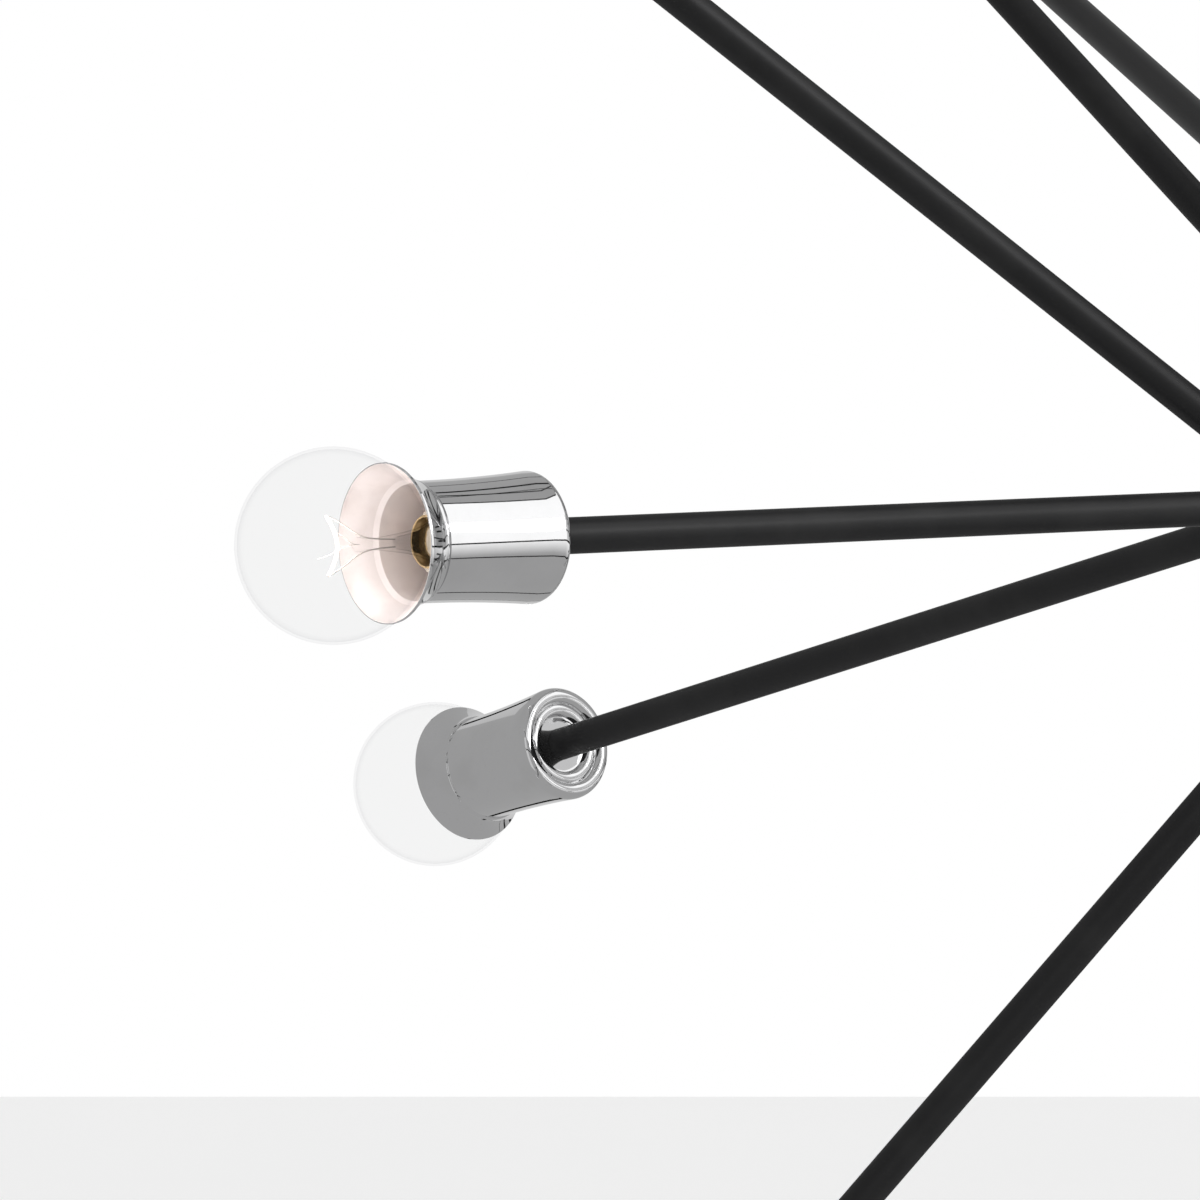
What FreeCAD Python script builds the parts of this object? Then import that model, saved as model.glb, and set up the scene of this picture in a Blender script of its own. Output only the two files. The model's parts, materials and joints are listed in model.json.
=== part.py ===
"""Twelve-light sputnik chandelier, in millimetres.

The origin is on the hanging axis, in the plane of the ceiling, and +Z is up.
Straight tubes leave a vertical hub column at six measured directions and at
the six opposite ones. Each tube carries a chrome socket cup, a candelabra
lampholder and a globe lamp. The column hangs on two stem rods from a swivel
that turns and tilts below the ceiling canopy.
"""
import FreeCAD, Part
import math
import os
import Sketcher

Vector = FreeCAD.Vector
Rotation = FreeCAD.Rotation
Placement = FreeCAD.Placement

# ---------------------------------------------------------------- driving sizes
SIZES = [
    # name, value in mm or degrees, what it is
    ("running_fit", 0.05, "radial clearance of a shaft in its bore"),
    ("seat_gap", 0.3, "gap between faces that must not rub"),
    # globe lamp, measured from the centre of its globe along the lamp axis
    ("globe_radius", 26.2, "outside of the glass globe"),
    ("glass_wall", 0.7, "thickness of the glass"),
    ("neck_radius", 6.5, "outside of the glass neck"),
    ("neck_blend", 8.0, "fillet between globe and neck"),
    ("neck_end", 33.5, "far end of the glass neck"),
    ("skirt_start", 30.0, "near edge of the metal skirt of the base"),
    ("skirt_end", 34.2, "far edge of the skirt"),
    ("skirt_wall", 0.6, "thickness of the skirt"),
    ("thread_radius", 5.85, "outside of the screw shell"),
    ("thread_end", 47.5, "far end of the screw shell"),
    ("shell_wall", 0.7, "thickness of the screw shell"),
    ("insulator_end", 50.6, "far end of the insulator cone"),
    ("insulator_radius", 3.2, "small end of the insulator cone"),
    ("contact_radius", 2.2, "centre contact"),
    ("contact_end", 52.3, "far end of the centre contact"),
    # socket cup
    ("rim_place", 16.5, "mouth of the cup, from the globe's centre"),
    ("rim_radius", 21.5, "outside of the mouth"),
    ("rim_band", 0.8, "length of the straight band at the mouth"),
    ("cup_wall", 0.6, "thickness of the cup"),
    ("flare_curve", 30.0, "radius of the flare's hollow side"),
    ("waist_place", 25.2, "crease between flare and barrel"),
    ("waist_radius", 16.8, "outside of the flare at the crease"),
    ("crease_depth", 0.5, "depth of the crease"),
    ("crease_width", 0.7, "length of the crease"),
    ("barrel_radius", 17.9, "outside of the barrel at its rear"),
    ("barrel_curve", 420.0, "radius of the barrel's hollow side"),
    ("barrel_end", 63.3, "where the barrel runs into its rear lip"),
    ("lip_radius", 3.0, "rounded outer side of the rear lip"),
    ("step_depth", 1.6, "rounded inner side of the lip, down to the rear step"),
    ("recess_radius", 9.0, "edge of the rear recess"),
    ("recess_depth", 1.6, "rounded side of the recess below the step"),
    ("floor_wall", 1.0, "thickness of the cup's floor at the tube"),
    # lampholder
    ("holder_radius", 10.5, "outside of the lampholder"),
    ("holder_bore", 6.2, "bore for the lamp base"),
    ("holder_start", 34.5, "mouth of the lampholder"),
    ("holder_pit", 54.0, "bottom of the lampholder's bore"),
    ("holder_spring", 1.4, "height of the centre spring contact"),
    ("holder_flange", 12.5, "radius of the lampholder's flange"),
    ("flange_height", 2.0, "thickness of that flange"),
    # arm tubes
    ("arm_radius", 5.0, "outside of the arm tube"),
    ("arm_wall", 1.0, "thickness of the arm tube"),
    ("arm_grip", 4.5, "length of tube held in the lampholder"),
    ("arm_inside", 2.0, "length of tube that shows inside the column"),
    ("collar_radius", 6.3, "outside of the collar at the column"),
    ("collar_length", 3.0, "shortest side of a collar"),
    ("reach_short", 344.0, "column axis to globe centre, short arm"),
    ("reach_middle", 402.5, "column axis to globe centre, middle arm"),
    ("reach_long", 461.0, "column axis to globe centre, long arm"),
    ("level_inner", 49.0, "height of the inner arm rows from the middle row"),
    ("level_outer", 80.0, "height of the outer arm rows from the middle row"),
    # six arm directions: turn about the vertical and rise above the level
    ("turn_1", 216.7, "arm 1, turn from +X"), ("rise_1", -2.2, "arm 1, rise"),
    ("turn_2", 131.0, "arm 2, turn from +X"), ("rise_2", -12.4, "arm 2, rise"),
    ("turn_3", 185.7, "arm 3, turn from +X"), ("rise_3", -48.8, "arm 3, rise"),
    ("turn_4", 209.7, "arm 4, turn from +X"), ("rise_4", 33.2, "arm 4, rise"),
    ("turn_5", 151.1, "arm 5, turn from +X"), ("rise_5", 45.3, "arm 5, rise"),
    ("turn_6", 101.2, "arm 6, turn from +X"), ("rise_6", 15.9, "arm 6, rise"),
    # hub column and its cap
    ("column_radius", 21.0, "outside of the hub column"),
    ("column_wall", 3.0, "thickness of the hub column"),
    ("column_height", 208.0, "length of the hub column"),
    ("column_edge", 5.0, "rounded foot of the column"),
    ("cap_height", 14.0, "hub cap above the column"),
    ("cap_band", 3.0, "straight edge of the hub cap"),
    ("cap_neck", 9.0, "radius of the hub cap below the rod"),
    ("cap_plug", 8.0, "length of the cap inside the column"),
    ("cap_plug_wall", 2.0, "thickness of that plug"),
    # stem rods
    ("stem_radius", 6.35, "outside of a stem rod"),
    ("stem_bore", 5.15, "bore of a stem rod"),
    ("stem_length", 305.0, "visible length of one rod"),
    ("spigot_length", 12.0, "threaded spigot at the top of a rod"),
    ("wire_radius", 3.2, "bore for the wires"),
    # swivel
    ("pin_radius", 3.0, "tilt pin"),
    ("pin_head", 4.6, "radius of the pin's heads"),
    ("pin_head_height", 1.5, "thickness of the pin's heads"),
    ("tongue_radius", 8.0, "rounded end and half width of the eye"),
    ("tongue_thickness", 10.0, "thickness of the eye"),
    ("socket_radius", 10.0, "outside of the eye's socket"),
    ("socket_drop", 12.0, "pin centre to the top of the socket"),
    ("socket_length", 22.0, "length of the socket"),
    ("cheek_radius", 9.0, "rounded end and half width of the yoke's cheeks"),
    ("cheek_thickness", 5.0, "thickness of each cheek"),
    ("yoke_drop", 12.0, "underside of the yoke's head to the pin centre"),
    ("yoke_radius", 13.0, "radius of the yoke's head"),
    ("yoke_head", 11.7, "height of the yoke's head"),
    ("yoke_edge", 3.0, "rounded lower edge of the yoke's head"),
    ("neck_shaft", 5.0, "threaded neck above the yoke"),
    ("nut_width", 17.0, "across the flats of the neck nut"),
    ("nut_height", 6.0, "height of the neck nut"),
    ("neck_spare", 1.0, "neck above its nut"),
    # canopy, bracket and screws
    ("canopy_radius", 60.0, "outside of the canopy"),
    ("canopy_depth", 26.0, "depth of the canopy"),
    ("canopy_wall", 1.2, "thickness of the canopy"),
    ("canopy_edge", 6.0, "rounded lower edge of the canopy"),
    ("canopy_hole", 6.5, "centre hole of the canopy"),
    ("bracket_width", 25.0, "width of the bracket strip"),
    ("bracket_wall", 2.5, "thickness of the bracket strip"),
    ("bracket_reach", 56.0, "bracket half length"),
    ("bracket_flange", 20.0, "height of the bracket's end flanges"),
    ("bracket_step", 30.0, "half length of the bracket's dropped middle"),
    ("bracket_drop", 14.0, "depth of the dropped middle"),
    ("slot_place", 39.7, "slot centre from the hanging axis"),
    ("slot_length", 14.2, "slot, end to end"),
    ("slot_width", 4.6, "slot width"),
    ("screw_drop", 12.0, "canopy screws below the ceiling"),
    ("screw_radius", 2.0, "canopy screw thread"),
    ("screw_hole", 2.4, "screw hole in the canopy"),
    ("screw_head", 4.5, "radius of the screw head"),
    ("screw_head_height", 3.0, "height of the screw head"),
    ("screw_spare", 1.5, "screw beyond the bracket's flange"),
]

doc = FreeCAD.newDocument("sputnik_chandelier")
sheet = doc.addObject("Spreadsheet::Sheet", "Sizes")
for row, (name, value, note) in enumerate(SIZES, start=1):
    sheet.set("A%d" % row, name)
    sheet.set("B%d" % row, str(value))
    sheet.set("C%d" % row, note)
    sheet.setAlias("B%d" % row, name)
doc.recompute()

NAMES = sorted((name for name, _, _ in SIZES), key=len, reverse=True)


def cell(name):
    """The number in the named cell."""
    return float(getattr(sheet, name))


def bound(formula):
    """A formula of cell names, written as an expression on the sheet."""
    words = ""
    word = ""
    for letter in formula + " ":
        if letter.isalnum() or letter == "_":
            word += letter
            continue
        words += ("Sizes." + word if word in NAMES else word) + letter
        word = ""
    return words.strip()


def value_of(formula):
    """The number that a formula of cell names gives."""
    return float(sheet.evalExpression(bound(formula)))


# ------------------------------------------------------------- outlines and turning
def origin_plane(body, role):
    for feature in body.Origin.OriginFeatures:
        if feature.Role == role:
            return feature
    raise ValueError("no plane " + role)


def add_sketch(body, name, role):
    sketch = body.newObject("Sketcher::SketchObject", name)
    sketch.AttachmentSupport = [(origin_plane(body, role), "")]
    sketch.MapMode = "FlatFace"
    return sketch


def arc_between(start, end, radius, side):
    """Minor arc from start to end, with its centre to the left (side 1) or right (-1)."""
    middle = (start + end) * 0.5
    chord = end - start
    rise = math.sqrt(max(radius ** 2 - (chord.Length / 2) ** 2, 0.0))
    left = Vector(-chord.y, chord.x, 0)
    left.normalize()
    centre = middle + left * (rise * side)
    first = math.atan2(start.y - centre.y, start.x - centre.x)
    last = math.atan2(end.y - centre.y, end.x - centre.x)
    if side < 0:
        first, last = last, first
    if last < first:
        last += 2 * math.pi
    circle = Part.Circle(centre, Vector(0, 0, 1), radius)
    return Part.ArcOfCircle(circle, first, last)


def draw_outline(sketch, corners):
    """Closed outline through corners (x, y) or, after an arc, (x, y, radius, side).

    Every coordinate and radius is a formula of cell names, bound to the sheet.
    """
    points = [Vector(value_of(c[0]), value_of(c[1]), 0) for c in corners]
    count = len(corners)
    shapes = []
    heads = []
    for index in range(count):
        following = (index + 1) % count
        corner = corners[following]
        if len(corner) == 4:
            shapes.append(arc_between(points[index], points[following], value_of(corner[2]), corner[3]))
            heads.append((1, 2) if corner[3] > 0 else (2, 1))
        else:
            shapes.append(Part.LineSegment(points[index], points[following]))
            heads.append((1, 2))
    first = sketch.addGeometry(shapes, False)[0]
    rules = []
    formulas = {}
    for index in range(count):
        following = (index + 1) % count
        rules.append(Sketcher.Constraint("Coincident", first + index, heads[index][1],
                                         first + following, heads[following][0]))
    for index, corner in enumerate(corners):
        for kind, axis, formula, number in (("DistanceX", -2, corner[0], points[index].x),
                                            ("DistanceY", -1, corner[1], points[index].y)):
            if formula == "0":
                rules.append(Sketcher.Constraint("PointOnObject", first + index, heads[index][0], axis))
            else:
                formulas[len(rules)] = formula
                rules.append(Sketcher.Constraint(kind, first + index, heads[index][0], number))
        if len(corner) == 4:
            formulas[len(rules)] = corner[2]
            rules.append(Sketcher.Constraint("Radius", first + (index - 1) % count, value_of(corner[2])))
    before = sketch.ConstraintCount
    sketch.addConstraint(rules)
    for place, formula in formulas.items():
        sketch.setExpression("Constraints[%d]" % (before + place), bound(formula))


def draw_circle(sketch, centre_x, centre_y, radius):
    """Circle whose centre and radius are formulas of cell names."""
    centre = Vector(value_of(centre_x), value_of(centre_y), 0)
    index = sketch.addGeometry(Part.Circle(centre, Vector(0, 0, 1), value_of(radius)), False)
    rows = [("DistanceX", -2, centre_x, centre.x), ("DistanceY", -1, centre_y, centre.y)]
    for kind, axis, formula, number in rows:
        if formula == "0":
            sketch.addConstraint(Sketcher.Constraint("PointOnObject", index, 3, axis))
        else:
            place = sketch.addConstraint(Sketcher.Constraint(kind, index, 3, number))
            sketch.setExpression("Constraints[%d]" % place, bound(formula))
    place = sketch.addConstraint(Sketcher.Constraint("Radius", index, value_of(radius)))
    sketch.setExpression("Constraints[%d]" % place, bound(radius))


def add_body(label, placement=None):
    body = doc.addObject("PartDesign::Body", label)
    body.Label = label
    body.Placement = placement or Placement()
    return body


def turn(body, corners):
    """Revolve an outline of (radius, height) corners about the body's Z axis."""
    sketch = add_sketch(body, body.Name + "_outline", "XZ_Plane")
    draw_outline(sketch, corners)
    feature = body.newObject("PartDesign::Revolution", body.Name + "_turned")
    feature.Profile = sketch
    feature.ReferenceAxis = (sketch, ["V_Axis"])
    feature.Angle = 360
    body.Tip = feature
    return feature


def turned(label, corners, placement=None):
    body = add_body(label, placement)
    turn(body, corners)
    return body


def pad(body, sketch, length):
    """Pad a sketch by half of the length to each side."""
    feature = body.newObject("PartDesign::Pad", sketch.Name + "_pad")
    feature.Profile = sketch
    feature.SideType = "Symmetric"
    feature.setExpression("Length", bound(length))
    body.Tip = feature
    return feature


def cut_through(body, sketch, length):
    """Pocket a sketch by half of the length to each side."""
    feature = body.newObject("PartDesign::Pocket", sketch.Name + "_cut")
    feature.Profile = sketch
    feature.SideType = "Symmetric"
    feature.setExpression("Length", bound(length))
    body.Tip = feature
    return feature


def group(label, members):
    """One node that holds several separate solids."""
    compound = doc.addObject("Part::Compound", label)
    compound.Label = label
    compound.Links = members
    return compound


# ------------------------------------------------------------------- heights in use
pin_height = -value_of("canopy_depth + seat_gap + yoke_head + yoke_drop")
rod_top = pin_height - value_of("socket_drop + socket_length")
cap_top = rod_top - 2 * cell("stem_length")
column_top = cap_top - cell("cap_height")
hub_height = column_top - cell("column_height") / 2

# One row for each light: reach, level, turn, rise. The second six are the first six
# seen through the middle of the hub, so the whole hangs straight.
REACHES = ["reach_short", "reach_middle", "reach_short", "reach_middle", "reach_long", "reach_long"]
LEVELS = [0.0, 0.0, -cell("level_inner"), 0.0, cell("level_inner"), cell("level_outer")]


def light_rows():
    rows = []
    for opposite in (False, True):
        for index in range(6):
            level = LEVELS[index]
            turn_angle = cell("turn_%d" % (index + 1))
            rise_angle = cell("rise_%d" % (index + 1))
            if opposite:
                level, turn_angle, rise_angle = -level, turn_angle + 180, -rise_angle
            rows.append((REACHES[index], level, turn_angle, rise_angle))
    return rows


def outward(turn_angle, rise_angle):
    flat = math.cos(math.radians(rise_angle))
    return Vector(flat * math.cos(math.radians(turn_angle)),
                  flat * math.sin(math.radians(turn_angle)),
                  math.sin(math.radians(rise_angle)))


def lamp_placement(reach, level, turn_angle, rise_angle):
    """At the globe's centre, with +Z pointing back along the arm to the hub."""
    direction = outward(turn_angle, rise_angle)
    centre = Vector(0, 0, hub_height + level) + direction * cell(reach)
    return Placement(centre, Rotation(turn_angle, -(rise_angle + 90), 0))


# ----------------------------------------------------------------- repeated pieces
CUP_REAR = "barrel_end + lip_radius"
CUP_STEP = CUP_REAR + " - step_depth"
CUP_RECESS = CUP_STEP + " - recess_depth"
CUP_FLOOR = CUP_RECESS + " - floor_wall"
ARM_HOLE = "arm_radius + running_fit"


def make_cup(label, placement):
    """Spun cup: flared mouth, crease, hollow-sided barrel, rounded lip and stepped rear."""
    return turned(label, [
        ("rim_radius - cup_wall", "rim_place"),
        ("rim_radius", "rim_place"),
        ("rim_radius", "rim_place + rim_band"),
        ("waist_radius", "waist_place", "flare_curve", -1),
        ("waist_radius - crease_depth", "waist_place + crease_width"),
        ("barrel_radius", "barrel_end", "barrel_curve", -1),
        ("barrel_radius - lip_radius", CUP_REAR, "lip_radius", 1),
        ("barrel_radius - lip_radius - step_depth", CUP_STEP, "step_depth", 1),
        ("recess_radius + recess_depth", CUP_STEP),
        ("recess_radius", CUP_RECESS, "recess_depth", 1),
        (ARM_HOLE, CUP_RECESS),
        (ARM_HOLE, CUP_FLOOR),
        ("barrel_radius - cup_wall", CUP_FLOOR),
        ("waist_radius - crease_depth - cup_wall", "waist_place + crease_width", "barrel_curve + cup_wall", 1),
        ("waist_radius - crease_depth - cup_wall", "waist_place"),
        ("rim_radius - cup_wall", "rim_place + rim_band", "flare_curve + cup_wall", 1),
    ], placement)


def make_holder(label, placement):
    """Candelabra lampholder, screwed on the tube against the floor of the cup."""
    return turned(label, [
        ("0", "holder_pit - holder_spring"),
        ("contact_radius", "holder_pit - holder_spring"),
        ("contact_radius", "holder_pit"),
        ("holder_bore", "holder_pit"),
        ("holder_bore", "holder_start"),
        ("holder_radius", "holder_start"),
        ("holder_radius", CUP_FLOOR + " - flange_height"),
        ("holder_flange", CUP_FLOOR + " - flange_height"),
        ("holder_flange", CUP_FLOOR),
        (ARM_HOLE, CUP_FLOOR),
        (ARM_HOLE, CUP_FLOOR + " - arm_grip - seat_gap"),
        ("0", CUP_FLOOR + " - arm_grip - seat_gap"),
    ], placement)


def make_globe(label, placement):
    """Blown globe with its neck, open at the neck's end."""
    side = "(neck_radius + neck_blend)"
    outer = "(globe_radius + neck_blend)"
    inner = "(globe_radius - glass_wall)"
    blend = "sqrt(%s ^ 2 - %s ^ 2)" % (outer, side)
    inner_bend = "(neck_blend + glass_wall)"
    return turned(label, [
        ("0", "-globe_radius"),
        ("globe_radius", "0", "globe_radius", 1),
        ("globe_radius * %s / %s" % (side, outer), "globe_radius * %s / %s" % (blend, outer), "globe_radius", 1),
        ("neck_radius", blend, "neck_blend", -1),
        ("neck_radius", "neck_end"),
        ("neck_radius - glass_wall", "neck_end"),
        ("neck_radius - glass_wall", blend),
        ("%s * %s / %s" % (inner, side, outer), "%s * %s / %s" % (inner, blend, outer), inner_bend, 1),
        (inner, "0", inner, -1),
        ("0", "-" + inner, inner, -1),
    ], placement)


def make_base(label, placement):
    """Candelabra base: skirt round the glass neck, screw shell, insulator and contact."""
    skirt_outer = "neck_radius + running_fit + skirt_wall"
    return turned(label, [
        ("0", "insulator_end - shell_wall"),
        ("0", "contact_end"),
        ("contact_radius", "contact_end"),
        ("contact_radius", "insulator_end"),
        ("insulator_radius", "insulator_end"),
        ("thread_radius", "thread_end"),
        ("thread_radius", "skirt_end"),
        (skirt_outer, "skirt_end"),
        (skirt_outer, "skirt_start"),
        ("neck_radius + running_fit", "skirt_start"),
        ("neck_radius + running_fit", "neck_end"),
        ("thread_radius - shell_wall", "neck_end"),
        ("thread_radius - shell_wall", "thread_end"),
        ("insulator_radius - shell_wall", "insulator_end - shell_wall"),
    ], placement)


def make_arm(label, reach, rise_angle, placement):
    """Straight tube from inside the column's wall to inside the lampholder."""
    bore = "(column_radius - column_wall - arm_inside)"
    root = "(%s - %s / cos(%s deg))" % (reach, bore, rise_angle)
    tip = CUP_FLOOR + " - arm_grip"
    return turned(label, [
        ("arm_radius - arm_wall", tip),
        ("arm_radius", tip),
        ("arm_radius", root),
        ("arm_radius - arm_wall", root),
    ], placement)


def cylinder_along(name, radius, length, placement):
    """Cylinder from the column's axis outwards, sizes bound to formulas."""
    solid = doc.addObject("Part::Cylinder", name)
    solid.setExpression("Radius", bound(radius))
    solid.setExpression("Height", bound(length))
    solid.Placement = placement
    return solid


def make_collar(name, level, turn_angle, rise_angle, column_core):
    """Ring round an arm, cut to seat on the column."""
    place = Placement(Vector(0, 0, hub_height + level), Rotation(turn_angle, 90 - rise_angle, 0))
    slope = "abs(tan(%s deg))" % rise_angle
    length = "column_radius / cos(%s deg) + collar_radius * %s + collar_length" % (rise_angle, slope)
    ring = doc.addObject("Part::Cut", name + "_ring")
    ring.Base = cylinder_along(name + "_body", "collar_radius", length, place)
    ring.Tool = cylinder_along(name + "_bore", ARM_HOLE, length + " + collar_length", place)
    seated = doc.addObject("Part::Cut", name)
    seated.Base = ring
    seated.Tool = column_core
    return seated


def make_lights():
    """All the pieces that repeat for each light; returns the nodes."""
    nodes = []
    holders = []
    collars = []
    core = doc.addObject("Part::Cylinder", "column_core")
    core.setExpression("Radius", bound("column_radius + running_fit"))
    core.setExpression("Height", bound("column_height"))
    core.Placement = Placement(Vector(0, 0, hub_height - cell("column_height") / 2), Rotation())
    for number, (reach, level, turn_angle, rise_angle) in enumerate(light_rows(), start=1):
        place = lamp_placement(reach, level, turn_angle, rise_angle)
        nodes.append(make_arm("arm_tube_%02d" % number, reach, rise_angle, place))
        nodes.append(make_cup("socket_cup_%02d" % number, place))
        nodes.append(make_globe("lamp_globe_%02d" % number, place))
        nodes.append(make_base("lamp_base_%02d" % number, place))
        holders.append(make_holder("lampholder_%02d" % number, place))
        collars.append(make_collar("arm_collar_%02d" % number, level, turn_angle, rise_angle, core))
    nodes.append(group("lampholders", holders))
    nodes.append(group("arm_collars", collars))
    return nodes


# ------------------------------------------------------------------------ hub column
def make_column():
    """Tube closed at its foot, with a bore for every arm."""
    foot = "column_height"
    blank = turned("hub_blank", [
        ("column_radius - column_wall", "0"),
        ("column_radius", "0"),
        ("column_radius", "-(%s - column_edge)" % foot),
        ("column_radius - column_edge", "-" + foot, "column_edge", -1),
        ("0", "-" + foot),
        ("0", "-(%s - column_wall)" % foot),
        ("column_radius - column_edge", "-(%s - column_wall)" % foot),
        ("column_radius - column_wall", "-(%s - column_edge)" % foot, "column_edge - column_wall", 1),
    ], Placement(Vector(0, 0, column_top), Rotation()))
    bores = []
    for number, (reach, level, turn_angle, rise_angle) in enumerate(light_rows(), start=1):
        place = Placement(Vector(0, 0, hub_height + level), Rotation(turn_angle, 90 - rise_angle, 0))
        length = "2 * column_radius / cos(%s deg)" % rise_angle
        bores.append(cylinder_along("column_bore_%02d" % number, ARM_HOLE, length, place))
    tools = doc.addObject("Part::MultiFuse", "column_bores")
    tools.Shapes = bores
    column = doc.addObject("Part::Cut", "hub_column")
    column.Label = "hub_column"
    column.Base = blank
    column.Tool = tools
    return column


def make_cap():
    """Turned cap: plug in the column, domed shoulder and a spigot for the rod."""
    spigot = "stem_bore - running_fit"
    plug = "column_radius - column_wall - running_fit"
    return turned("hub_cap", [
        ("wire_radius", "cap_height + spigot_length"),
        ("wire_radius", "cap_band"),
        (plug + " - cap_plug_wall", "0"),
        (plug + " - cap_plug_wall", "-cap_plug"),
        (plug, "-cap_plug"),
        (plug, "0"),
        ("column_radius", "0"),
        ("column_radius", "cap_band"),
        ("cap_neck", "cap_height", "column_radius", -1),
        (spigot, "cap_height"),
        (spigot, "cap_height + spigot_length"),
    ], Placement(Vector(0, 0, column_top), Rotation()))


# ------------------------------------------------------------------------- stem rods
def make_rods():
    """Two equal rods; the spigot of each screws into the piece above."""
    rods = []
    for number in (1, 2):
        height = rod_top - (number - 1) * cell("stem_length")
        rods.append(turned("stem_rod_%d" % number, [
            ("wire_radius", "spigot_length"),
            ("wire_radius", "-spigot_length / 2"),
            ("stem_bore", "-spigot_length / 2"),
            ("stem_bore", "-stem_length"),
            ("stem_radius", "-stem_length"),
            ("stem_radius", "0"),
            ("stem_bore - running_fit", "0"),
            ("stem_bore - running_fit", "spigot_length"),
        ], Placement(Vector(0, 0, height), Rotation())))
    return group("stem_rods", rods)


# ---------------------------------------------------------------------------- swivel
def make_eye():
    """Flat tongue on the tilt pin, with a socket for the upper rod below it."""
    body = add_body("swivel_eye", Placement(Vector(0, 0, pin_height), Rotation()))
    bottom = "(socket_drop + socket_length)"
    turn(body, [
        ("0", "-socket_drop"),
        ("socket_radius", "-socket_drop"),
        ("socket_radius", "-" + bottom),
        ("stem_bore", "-" + bottom),
        ("stem_bore", "-(%s - spigot_length - seat_gap)" % bottom),
        ("0", "-(%s - spigot_length - seat_gap)" % bottom),
    ])
    tongue = add_sketch(body, "tongue_outline", "XZ_Plane")
    draw_outline(tongue, [
        ("tongue_radius", "-(socket_drop + seat_gap)"),
        ("tongue_radius", "0"),
        ("0", "tongue_radius", "tongue_radius", 1),
        ("-tongue_radius", "0", "tongue_radius", 1),
        ("-tongue_radius", "-(socket_drop + seat_gap)"),
    ])
    pad(body, tongue, "tongue_thickness")
    hole = add_sketch(body, "tongue_hole", "XZ_Plane")
    draw_circle(hole, "0", "0", "pin_radius + running_fit")
    cut_through(body, hole, "2 * tongue_thickness")
    return body


SLOT = "(tongue_thickness + 2 * seat_gap)"
YOKE_SPAN = "(tongue_thickness + 2 * seat_gap + 2 * cheek_thickness)"


def make_yoke():
    """Threaded neck, round head and two cheeks that hold the tilt pin."""
    body = add_body("swivel_yoke", Placement(Vector(0, 0, pin_height), Rotation()))
    head_top = "(yoke_drop + yoke_head)"
    bar_top = "(yoke_drop + yoke_head + seat_gap + canopy_depth - bracket_drop)"
    neck_top = "(%s + nut_height + neck_spare)" % bar_top
    turn(body, [
        ("wire_radius", "yoke_drop"),
        ("yoke_radius - yoke_edge", "yoke_drop"),
        ("yoke_radius", "yoke_drop + yoke_edge", "yoke_edge", 1),
        ("yoke_radius", head_top),
        ("neck_shaft", head_top),
        ("neck_shaft", neck_top),
        ("wire_radius", neck_top),
    ])
    cheeks = add_sketch(body, "cheek_outline", "XZ_Plane")
    draw_outline(cheeks, [
        ("-cheek_radius", "yoke_drop + seat_gap"),
        ("-cheek_radius", "0"),
        ("0", "-cheek_radius", "cheek_radius", 1),
        ("cheek_radius", "0", "cheek_radius", 1),
        ("cheek_radius", "yoke_drop + seat_gap"),
    ])
    pad(body, cheeks, YOKE_SPAN)
    slot = add_sketch(body, "cheek_slot", "YZ_Plane")
    draw_outline(slot, [
        ("-%s / 2" % SLOT, "-2 * cheek_radius"),
        ("%s / 2" % SLOT, "-2 * cheek_radius"),
        ("%s / 2" % SLOT, "yoke_drop"),
        ("-%s / 2" % SLOT, "yoke_drop"),
    ])
    cut_through(body, slot, "4 * cheek_radius")
    hole = add_sketch(body, "cheek_hole", "XZ_Plane")
    draw_circle(hole, "0", "0", "pin_radius + running_fit")
    cut_through(body, hole, "2 * %s" % YOKE_SPAN)
    return body


def make_pin():
    """Headed tilt pin across the cheeks."""
    half = YOKE_SPAN + " / 2"
    place = Placement(Vector(0, 0, pin_height), Rotation(Vector(1, 0, 0), 90))
    return turned("swivel_pin", [
        ("0", "-(%s + pin_head_height)" % half),
        ("pin_head", "-(%s + pin_head_height)" % half),
        ("pin_head", "-" + half),
        ("pin_radius", "-" + half),
        ("pin_radius", half),
        ("pin_head", half),
        ("pin_head", half + " + pin_head_height"),
        ("0", half + " + pin_head_height"),
    ], place)


def make_nut():
    """Hexagon nut on the neck, resting on the bracket's middle."""
    place = Placement(Vector(0, 0, -cell("bracket_drop")), Rotation())
    blank = doc.addObject("Part::Prism", "nut_blank")
    blank.Polygon = 6
    blank.setExpression("Circumradius", bound("nut_width / 2 / cos(30 deg)"))
    blank.setExpression("Height", bound("nut_height"))
    blank.Placement = place
    bore = cylinder_along("nut_bore", "neck_shaft + running_fit", "nut_height", place)
    nut = doc.addObject("Part::Cut", "swivel_nut")
    nut.Label = "swivel_nut"
    nut.Base = blank
    nut.Tool = bore
    return nut


# ------------------------------------------------------------------ canopy and bracket
def make_canopy():
    """Shallow round cup against the ceiling, with two side holes for its screws."""
    body = add_body("canopy")
    turn(body, [
        ("canopy_radius - canopy_wall", "0"),
        ("canopy_radius", "0"),
        ("canopy_radius", "-(canopy_depth - canopy_edge)"),
        ("canopy_radius - canopy_edge", "-canopy_depth", "canopy_edge", -1),
        ("canopy_hole", "-canopy_depth"),
        ("canopy_hole", "-(canopy_depth - canopy_wall)"),
        ("canopy_radius - canopy_edge", "-(canopy_depth - canopy_wall)"),
        ("canopy_radius - canopy_wall", "-(canopy_depth - canopy_edge)", "canopy_edge - canopy_wall", 1),
    ])
    holes = add_sketch(body, "canopy_screw_holes", "YZ_Plane")
    draw_circle(holes, "0", "-screw_drop", "screw_hole")
    cut_through(body, holes, "3 * canopy_radius")
    return body


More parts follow.
